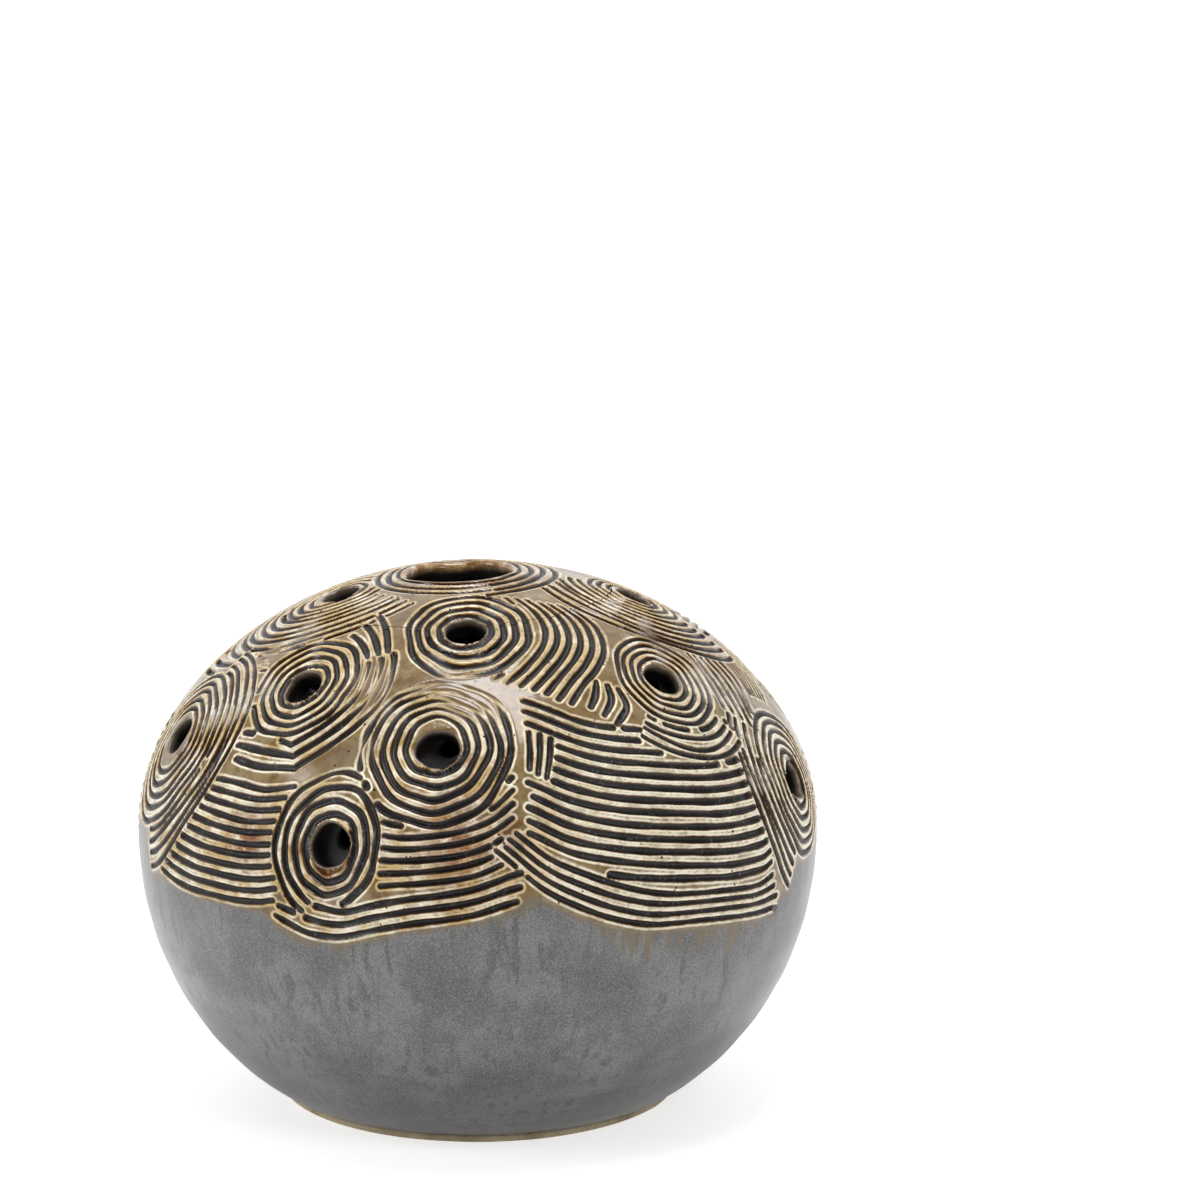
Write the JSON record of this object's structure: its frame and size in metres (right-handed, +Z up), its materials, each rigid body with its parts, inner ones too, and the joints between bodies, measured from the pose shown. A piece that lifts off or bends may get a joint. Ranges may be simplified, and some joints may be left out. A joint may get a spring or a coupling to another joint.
{
  "type": "flower frog",
  "caption": "Round stoneware flower frog: hollow bowl and carved dome with one mouth and scattered stem holes, standing on a bare clay foot ring.",
  "frame": {"origin": "centre of the foot ring, on the surface the pot stands on", "axes": "+Z up through the pot's middle, -Y towards the front with the two lowest front stem holes, +X to the right"},
  "size_m": [0.16, 0.16, 0.1243],
  "materials": {
    "bare_clay": "unglazed fired stoneware, fine and dry",
    "grey_glaze": "smooth satin grey glaze with faint mottling and amber runs under the carving",
    "liner_glaze": "dark glossy liner glaze",
    "carved_glaze": "translucent glaze, cream on the ridges, pooled nearly black in the grooves, amber at the breaks",
    "lip_glaze": "amber-brown glaze over a smoothed lip"
  },
  "bodies": {
    "root": {"foot_ring": "bare_clay", "bowl": "grey_glaze", "inside_glaze": "liner_glaze", "carved_dome": "carved_glaze", "mouth_lip": "lip_glaze"}
  },
  "joints": []
}
